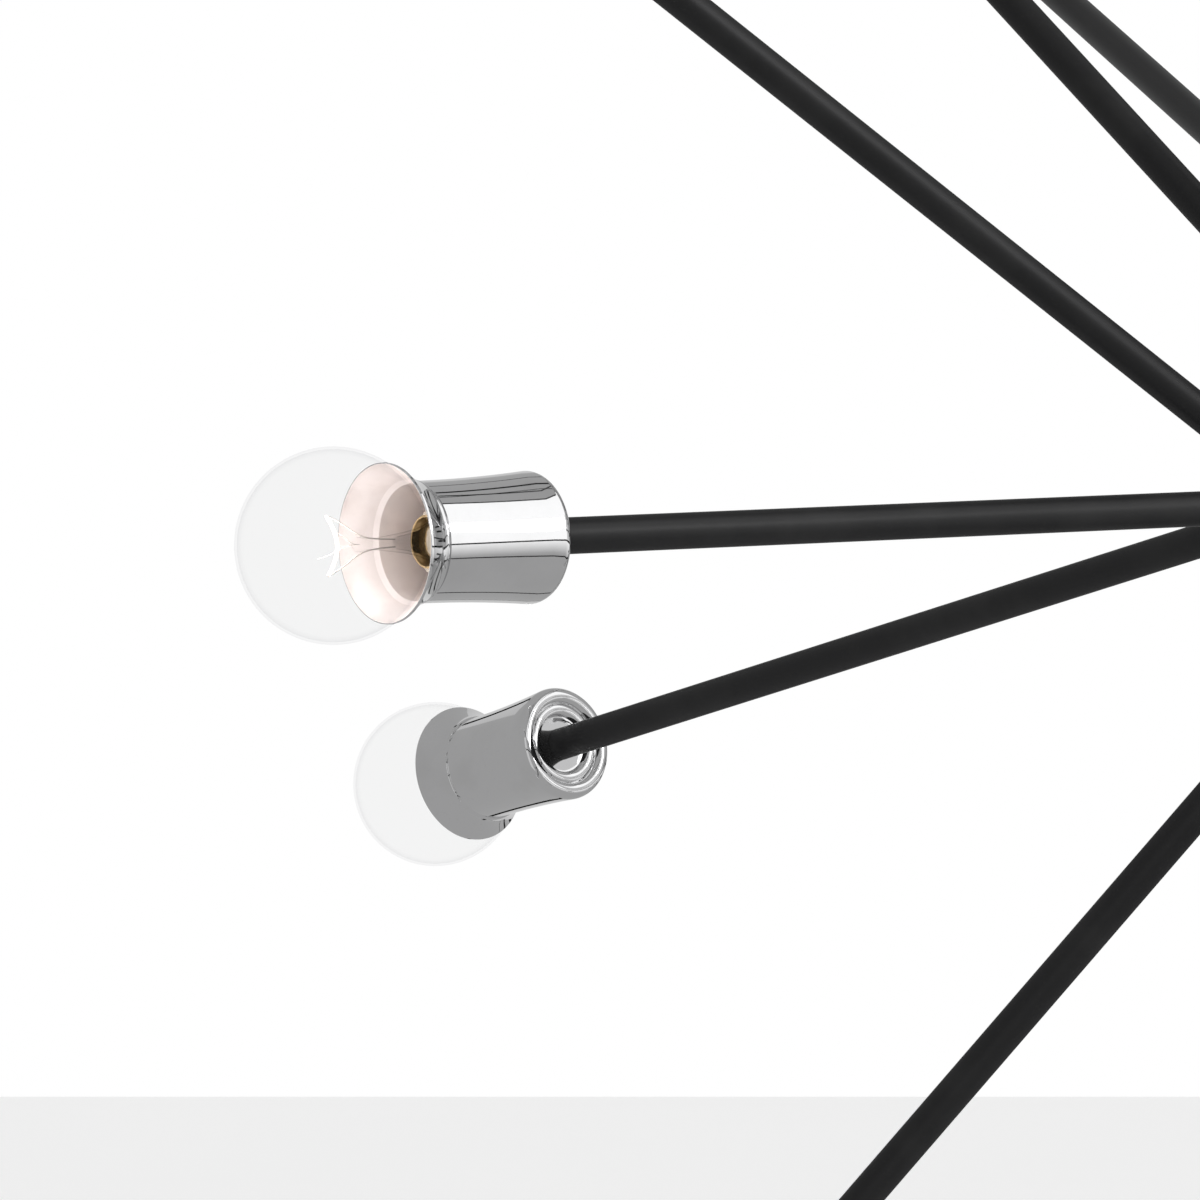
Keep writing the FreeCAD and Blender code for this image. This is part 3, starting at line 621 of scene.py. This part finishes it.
def lead_shape():
    """Two lead wires from the stem's pinch to the ends of the filament, and two fine props."""
    shape = bmesh.new()
    for side in (-1, 1):
        lead = [(side * 1.0, 0, 20.0), (side * 1.2, 0, 12.0), (side * 3.0, 0, 7.0),
                (side * 5.8, 0, 3.0), (side * FILAMENT_SPAN, 0, FILAMENT_HEIGHT)]
        add_to(shape, tube_along(lead, LEAD_WIRE))
        prop = [(0, side * 0.6, 8.0), (0, side * 1.2, 5.0), (side * 2.6, side * 3.2, 1.0),
                (side * 3.4, side * 4.4, FILAMENT_HEIGHT)]
        add_to(shape, tube_along(prop, PROP_WIRE, 8))
    return shape


def filament_shape():
    """Coiled filament on a bow from lead to lead."""
    steps = COIL_TURNS * 10
    points = []
    for step in range(steps + 1):
        share = step / steps
        across = FILAMENT_SPAN * (2 * share - 1)
        bow = FILAMENT_BOW * math.sin(math.pi * share)
        angle = 2 * math.pi * COIL_TURNS * share
        around = bow + COIL_RADIUS * math.cos(angle)
        points.append((across, around, FILAMENT_HEIGHT + COIL_RADIUS * math.sin(angle)))
    return tube_along(points, COIL_WIRE, 4, 1)


def holder_shape():
    """Candelabra lampholder: stepped phenolic body, brass screw liner and centre spring."""
    body = spin_outline(rounded_outline([
        (6.9, 34.5, 0.3), (10.5, 34.5, 0.6), (10.5, 60.1, 0.4), (12.5, 60.1, 0.4), (12.5, 62.05, 0.3),
        (ARM_HOLE_RADIUS, 62.05), (ARM_HOLE_RADIUS, 57.3), (0.01, 57.3), (0.01, 54.0), (6.9, 54.0)]),
        steps=96)
    liner = spin_outline(rounded_outline([(6.25, 35.2, 0.2), (6.85, 35.2, 0.2), (6.85, 53.9), (6.25, 53.9)]),
                         steps=96)
    spring = spin_outline([(0, 52.6), (1.4, 52.65), (2.2, 53.0), (2.2, 54.0), (0, 54.0)], steps=48)
    for part in (liner, spring):
        for face in part.faces:
            face.material_index = 1
        add_to(body, part)
    return body


def arm_shape(number):
    """Black tube with softened ends, from inside the column into the lampholder."""
    axis = lamp_axis(number)
    flat = math.hypot(axis.x, axis.y)
    centre = PLACES[number].translation
    root = math.hypot(centre.x, centre.y) / flat / MM - ARM_ROOT_FROM_AXIS / flat
    bore = ARM_RADIUS - ARM_WALL
    return spin_outline(rounded_outline([
        (bore, ARM_TIP), (ARM_RADIUS, ARM_TIP, 0.3), (ARM_RADIUS, root, 0.3), (bore, root)]), steps=64)


CUP = cup_shape()
GLOBE = globe_shape()
BASE = base_shape()
STEM = stem_shape()
LEADS = lead_shape()
FILAMENT = filament_shape()
HOLDER = holder_shape()


GLOW_WATTS = 0.030
GLOW_COLOUR = (1.0, 0.91, 0.87)
GLOW_RADIUS = 4.0
GLOW_OFFSET = 3.0


def add_glow(number):
    """Small light at the filament that brightens the cup's lining."""
    tag = "_%02d" % number
    glow = bpy.data.lights.new("glow" + tag, "POINT")
    glow.energy = GLOW_WATTS
    glow.color = GLOW_COLOUR
    glow.shadow_soft_size = GLOW_RADIUS * MM
    light = bpy.data.objects.new("glow" + tag, glow)
    scene.collection.objects.link(light)
    light.location = PLACES[number] @ Vector((0, GLOW_OFFSET * MM, FILAMENT_HEIGHT * MM))
    light.visible_transmission = False
    light.visible_glossy = False
    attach(light, "lamp" + tag)


def build_light(number):
    """All the pieces of one light."""
    tag = "_%02d" % number
    place = PLACES[number]
    lamp = "lamp" + tag
    finish_piece("arm" + tag, arm_shape(number), [paint], "fixture", ["arm_tube" + tag], place)
    finish_piece("cup" + tag, CUP.copy(), [chrome, lining], "fixture", ["socket_cup" + tag], place)
    finish_piece("globe" + tag, GLOBE.copy(), [clear_glass], lamp, ["lamp_globe" + tag], place)
    base_finishes = [brass, insulator, solder, holder_cream]
    finish_piece("base" + tag, BASE.copy(), base_finishes, lamp, ["lamp_base" + tag], place)
    finish_piece("stem" + tag, STEM.copy(), [stem_glass], lamp, [], place)
    leads = finish_piece("leads" + tag, LEADS.copy(), [nickel], lamp, [], place)
    wire = finish_piece("filament" + tag, FILAMENT.copy(), [filament_hot], lamp, [], place)
    leads.visible_shadow = False
    wire.visible_shadow = False
    add_glow(number)


def build_holders():
    shape = bmesh.new()
    for number in LIGHTS:
        holder = HOLDER.copy()
        bmesh.ops.transform(holder, matrix=PLACES[number], verts=holder.verts[:])
        add_to(shape, holder)
    finish_piece("lampholders_dressed", shape, [holder_cream, brass], "fixture", ["lampholders"])


# ------------------------------------------------------------------------- hub and hanger
def build_canopy():
    """Spun canopy with a rolled lower edge, and its two domed screws."""
    corner = CANOPY_RADIUS - CANOPY_EDGE
    inner_floor = CANOPY_WALL - CANOPY_DEPTH
    edge_top = CANOPY_EDGE - CANOPY_DEPTH
    bore = CANOPY_RADIUS - CANOPY_WALL
    outline = [(bore, 0, 0.3), (CANOPY_RADIUS, 0, 0.4), (CANOPY_RADIUS, edge_top)]
    outline += arc_to((CANOPY_RADIUS, edge_top), (corner, -CANOPY_DEPTH), CANOPY_EDGE, -1, 10)
    outline += [(CANOPY_HOLE, -CANOPY_DEPTH, 0.4), (CANOPY_HOLE, inner_floor, 0.3), (corner, inner_floor)]
    outline += arc_to((corner, inner_floor), (bore, edge_top), CANOPY_EDGE - CANOPY_WALL, 1, 8)
    finish_piece("canopy_spun", spin_outline(rounded_outline(outline), steps=160), [chrome], "ceiling_mount",
                 ["canopy"])
    screws = bmesh.new()
    seat = 0.05
    head = [(0, -SCREW_LENGTH), (SCREW_SHANK_RADIUS, -SCREW_LENGTH, 0.4), (SCREW_SHANK_RADIUS, seat),
            (SCREW_HEAD_RADIUS, seat, 0.3), (SCREW_HEAD_RADIUS, SCREW_HEAD_EDGE)]
    head += arc_to((SCREW_HEAD_RADIUS, SCREW_HEAD_EDGE), (0, SCREW_HEAD_HEIGHT), SCREW_DOME, 1, 8)
    for side in (-1, 1):
        screw = spin_outline(rounded_outline(head), closed=False, steps=64)
        turned = Matrix.Rotation(side * math.pi / 2, 4, "Y")
        place = Matrix.Translation((side * CANOPY_RADIUS * MM, 0, -SCREW_DROP * MM)) @ turned
        bmesh.ops.transform(screw, matrix=place, verts=screw.verts[:])
        add_to(screws, screw)
    finish_piece("canopy_screws_domed", screws, [chrome], "ceiling_mount", ["canopy_screws"])


def build_stem():
    """Cap of the hub and the two rods above it, turned."""
    plug = COLUMN_RADIUS - COLUMN_WALL - FIT_CLEARANCE
    plug_bore = plug - CAP_PLUG_WALL
    spigot = STEM_BORE - FIT_CLEARANCE
    spigot_top = CAP_HEIGHT + SPIGOT_LENGTH
    cap = [(WIRE_RADIUS, spigot_top), (WIRE_RADIUS, CAP_BRIM), (plug_bore, 0), (plug_bore, -CAP_PLUG),
           (plug, -CAP_PLUG, 0.3), (plug, 0), (COLUMN_RADIUS, 0, 0.3), (COLUMN_RADIUS, CAP_BRIM)]
    cap += arc_to((COLUMN_RADIUS, CAP_BRIM), (CAP_TOP_RADIUS, CAP_HEIGHT), COLUMN_RADIUS, -1, 12)
    cap += [(spigot, CAP_HEIGHT), (spigot, spigot_top, 0.4)]
    finish_piece("hub_cap_turned", spin_outline(rounded_outline(cap)), [chrome], "fixture", ["hub_cap"],
                 Matrix.Translation((0, 0, HUB_TOP)))
    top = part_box("swivel_eye")[0][2]
    socket_depth = SPIGOT_LENGTH / 2
    rod_outline = rounded_outline([
        (WIRE_RADIUS, SPIGOT_LENGTH, 0.2), (WIRE_RADIUS, -socket_depth), (STEM_BORE, -socket_depth),
        (STEM_BORE, -STEM_LENGTH), (STEM_RADIUS, -STEM_LENGTH, 0.3), (STEM_RADIUS, 0, 0.3), (spigot, 0),
        (spigot, SPIGOT_LENGTH, 0.3)])
    rods = bmesh.new()
    for number in range(2):
        rod = spin_outline(rod_outline, steps=96)
        place = Matrix.Translation((0, 0, top - number * STEM_LENGTH * MM))
        bmesh.ops.transform(rod, matrix=place, verts=rod.verts[:])
        add_to(rods, rod)
    finish_piece("stem_rods_turned", rods, [paint], "fixture", ["stem_rods"])


def dress_kept_nodes():
    """Materials for the pieces that keep their own form."""
    finishes = {
        "hub_column": chrome, "arm_collars": chrome, "swivel_eye": paint, "swivel_yoke": chrome,
        "swivel_pin": zinc, "swivel_nut": zinc, "mounting_bracket": zinc,
    }
    for name, material in finishes.items():
        node = frame["nodes"][name]
        node.data.materials.clear()
        node.data.materials.append(material)


for light in LIGHTS:
    build_light(light)
build_holders()
build_canopy()
build_stem()
dress_kept_nodes()


# ------------------------------------------------------------------------------ studio
# Sizes in metres; heights of the panels are from the hub's middle.
ROOM_SIDE = 3.0
ROOM_HEIGHT = 1.5
BACK_SPLIT = 0.6
ROOF_SPLIT = 0.8
RIGHT_FOOT = -0.17
RIGHT_NEAR = -0.5
RIGHT_FAR = 0.9
LINE_HEIGHT = 0.12
RAIL_LEVELS = (1.05, 0.72, 0.08, -0.3, -0.78, -1.2)
RAIL_START = 1.2
SLAT_LENGTH = 0.8
SLAT_WIDTH = 0.14
GREY_LEVEL = 0.50
PALE_LEVEL = 0.70
LIGHT_LEVEL = 0.85
BRIGHT_LEVEL = 1.55
BLACK_LEVEL = 0.01
FADE_LEVELS = (1.35, 0.55)
FADE_HEIGHTS = (-0.3, -1.4)


def add_panel(name, corner, across, up, material):
    """Flat studio panel, one corner and two sides in metres; only reflections see it."""
    shape = bmesh.new()
    corner, across, up = Vector(corner), Vector(across), Vector(up)
    outline = (corner, corner + across, corner + across + up, corner + up)
    shape.faces.new([shape.verts.new(point) for point in outline])
    panel = mesh_object(name, shape, [material])
    panel.visible_camera = False
    panel.visible_diffuse = False
    panel.visible_shadow = False
    panel.visible_transmission = False


def add_slat(name, centre, along, across, material):
    """Black slat hung in the room for the far cup's dark lines."""
    length = Vector(along).normalized() * SLAT_LENGTH
    width = Vector(across).normalized() * SLAT_WIDTH
    add_panel(name, Vector(centre) - (length + width) / 2, length, width, material)


def glow_material(name, level):
    material = bpy.data.materials.new(name)
    material.use_nodes = True
    nodes = material.node_tree.nodes
    nodes.clear()
    light = nodes.new("ShaderNodeEmission")
    light.inputs["Color"].default_value = (level, level, level, 1)
    light.inputs["Strength"].default_value = 1.0
    output = nodes.new("ShaderNodeOutputMaterial")
    material.node_tree.links.new(light.outputs["Emission"], output.inputs["Surface"])
    return material


def fading_material(name, levels, heights):
    """Glow that fades with height, from the first level and height to the second."""
    material = glow_material(name, 1.0)
    nodes, links = material.node_tree.nodes, material.node_tree.links
    parts = nodes.new("ShaderNodeSeparateXYZ")
    links.new(object_coordinates(nodes), parts.inputs["Vector"])
    level = spread(nodes, links, parts.outputs["Z"], heights[1], heights[0], levels[1], levels[0])
    links.new(level, nodes["Emission"].inputs["Strength"])
    return material


def build_studio():
    """Grey room round the light, a soft box along its right side, a paler back, and dark lines."""
    grey = glow_material("studio_grey", GREY_LEVEL)
    pale = glow_material("studio_pale", PALE_LEVEL)
    bright = glow_material("studio_bright", BRIGHT_LEVEL)
    black = glow_material("studio_black", BLACK_LEVEL)
    light = glow_material("studio_light", LIGHT_LEVEL)
    fade = fading_material("studio_fade", FADE_LEVELS, [HUB_MIDDLE + height for height in FADE_HEIGHTS])
    side, middle = ROOM_SIDE, HUB_MIDDLE
    low, high = middle - ROOM_HEIGHT, middle + ROOM_HEIGHT
    depth = 2 * side
    wall, tall = (0, 0, 2 * ROOM_HEIGHT), (0, 0, 3 * ROOM_HEIGHT)
    foot, roof = middle + RIGHT_FOOT, high + 0.1
    add_panel("studio_left", (-side, -side, low), (0, depth, 0), wall, grey)
    add_panel("studio_front", (-side, -side, low), (depth, 0, 0), wall, grey)
    add_panel("studio_front_light", (-0.7, 0.01 - side, low), (1.2, 0, 0), wall, light)
    add_panel("studio_back", (-side, side, low), (side + BACK_SPLIT, 0, 0), wall, pale)
    add_panel("studio_back_right", (BACK_SPLIT, side, low), (side - BACK_SPLIT, 0, 0), wall, grey)
    add_panel("studio_under", (-side, -side, low), (depth, 0, 0), (0, depth, 0), grey)
    add_panel("studio_over", (-side, -side, high), (side + ROOF_SPLIT, 0, 0), (0, depth, 0), grey)
    add_panel("soft_box_face", (side, -side, foot), (0, side + RIGHT_NEAR, 0), tall, bright)
    add_panel("studio_right_near", (side, RIGHT_NEAR, foot), (0, RIGHT_FAR - RIGHT_NEAR, 0), tall, light)
    add_panel("studio_right_far", (side, RIGHT_FAR, foot), (0, side - RIGHT_FAR, 0), tall, grey)
    add_panel("soft_box_roof", (ROOF_SPLIT, -side, roof), (side, 0, 0), (0, side + ROOF_SPLIT, 0), bright)
    add_panel("studio_over_back", (ROOF_SPLIT, ROOF_SPLIT, roof), (side, 0, 0), (0, side, 0), grey)
    add_panel("soft_box_foot", (side, -side, low), (0, depth, 0), (0, 0, ROOM_HEIGHT - 0.3), fade)
    under_roof = high - 0.01
    add_panel("studio_line_1", (0.76, -side, under_roof), (0.05, 0, 0), (0, depth, 0), black)
    add_panel("studio_line_2", (0.44, -side, under_roof), (0.035, 0, 0), (0, depth, 0), black)
    add_panel("studio_line_4", (side, -side, middle - 0.3), (0, depth, 0), (0, 0, 0.13), black)
    add_panel("studio_line_5", (-side, 2.7, low + 0.01), (depth, 0, 0), (0, 0.06, 0), black)
    rail = (0, 0, LINE_HEIGHT)
    inside = side - 0.02
    for index, level in enumerate(RAIL_LEVELS):
        start = middle + level
        add_panel("back_rail_%d" % index, (BACK_SPLIT, inside, start), (side - BACK_SPLIT, 0, 0), rail, black)
        add_panel("side_rail_%d" % index, (inside, RAIL_START, start), (0, side - RAIL_START, 0), rail, black)
    add_slat("slat_above", (-0.70, 1.61, middle + 0.59), (-0.247, -0.405, 0.627), (0.495, 0.339, -0.311),
             black)
    add_slat("slat_below", (-0.22, 1.55, middle - 1.02), (0.171, -0.452, -0.635), (-0.255, -0.37, -0.504),
             black)


def build_world():
    """White backdrop for the camera, metal and glass; a softer level for the rest."""
    world = bpy.data.worlds.new("white_backdrop")
    scene.world = world
    world.use_nodes = True
    nodes, links = world.node_tree.nodes, world.node_tree.links
    nodes.clear()
    path = nodes.new("ShaderNodeLightPath")
    seen = arithmetic(nodes, links, "MAXIMUM", path.outputs["Is Camera Ray"], path.outputs["Is Glossy Ray"])
    seen = arithmetic(nodes, links, "MAXIMUM", seen, path.outputs["Is Transmission Ray"])
    room = nodes.new("ShaderNodeBackground")
    room.inputs["Color"].default_value = (1.0, 1.0, 1.0, 1)
    room.inputs["Strength"].default_value = 0.45
    white = nodes.new("ShaderNodeBackground")
    white.inputs["Color"].default_value = (1.0, 1.0, 1.0, 1)
    white.inputs["Strength"].default_value = 1.0
    mixed = nodes.new("ShaderNodeMixShader")
    links.new(seen, mixed.inputs[0])
    links.new(room.outputs["Background"], mixed.inputs[1])
    links.new(white.outputs["Background"], mixed.inputs[2])
    output = nodes.new("ShaderNodeOutputWorld")
    links.new(mixed.outputs["Shader"], output.inputs["Surface"])


def add_area(name, place, target, size, watts):
    light = bpy.data.lights.new(name, "AREA")
    light.shape = "RECTANGLE"
    light.size, light.size_y = size
    light.energy = watts
    lamp = bpy.data.objects.new(name, light)
    scene.collection.objects.link(lamp)
    lamp.location = place
    lamp.rotation_euler = (Vector(target) - Vector(place)).to_track_quat("-Z", "Y").to_euler()


def build_lights():
    middle = (0, 0, HUB_MIDDLE)
    add_area("soft_box_right", (2.6, -1.2, HUB_MIDDLE + 1.6), middle, (1.6, 2.2), 60)
    add_area("soft_box_top", (-0.6, -0.6, HUB_MIDDLE + 3.0), middle, (2.4, 2.4), 40)


FLOOR_DROP = 1.55
FLOOR_HALF = 25.0


def build_floor():
    """Pale floor below the hanging light."""
    shape = bmesh.new()
    bmesh.ops.create_grid(shape, x_segments=1, y_segments=1, size=FLOOR_HALF)
    bmesh.ops.translate(shape, vec=(0, 0, HUB_MIDDLE - FLOOR_DROP), verts=shape.verts[:])
    material, nodes, links, surface = new_material("pale_floor")
    tone = noise(nodes, links, object_coordinates(nodes), 1.5, 2.0)
    colour = mix_colour(nodes, links, tone, (0.93, 0.93, 0.93, 1), (0.95, 0.95, 0.95, 1))
    links.new(colour, surface.inputs["Base Color"])
    surface.inputs["Roughness"].default_value = 0.8
    surface.inputs["Emission Color"].default_value = (1.0, 1.0, 1.0, 1)
    surface.inputs["Emission Strength"].default_value = 0.38
    floor = mesh_object("floor", shape, [material])
    floor.visible_transmission = False


# The camera stands level in front of the light, a little left of and below the hub's middle.
CAMERA_FROM_HUB = Vector((-0.2052, -2.5825, -0.02755))
CAMERA_LENS = 270.0
CAMERA_SENSOR = 36.0


def build_camera():
    camera = bpy.data.cameras.new("camera")
    camera.lens = CAMERA_LENS
    camera.sensor_width = CAMERA_SENSOR
    camera.clip_end = 100
    holder = bpy.data.objects.new("camera", camera)
    scene.collection.objects.link(holder)
    holder.location = Vector((0, 0, HUB_MIDDLE)) + CAMERA_FROM_HUB
    holder.rotation_euler = (math.pi / 2, 0, 0)
    scene.camera = holder


build_studio()
build_world()
build_lights()
build_floor()
build_camera()
scene.view_settings.view_transform = "Standard"
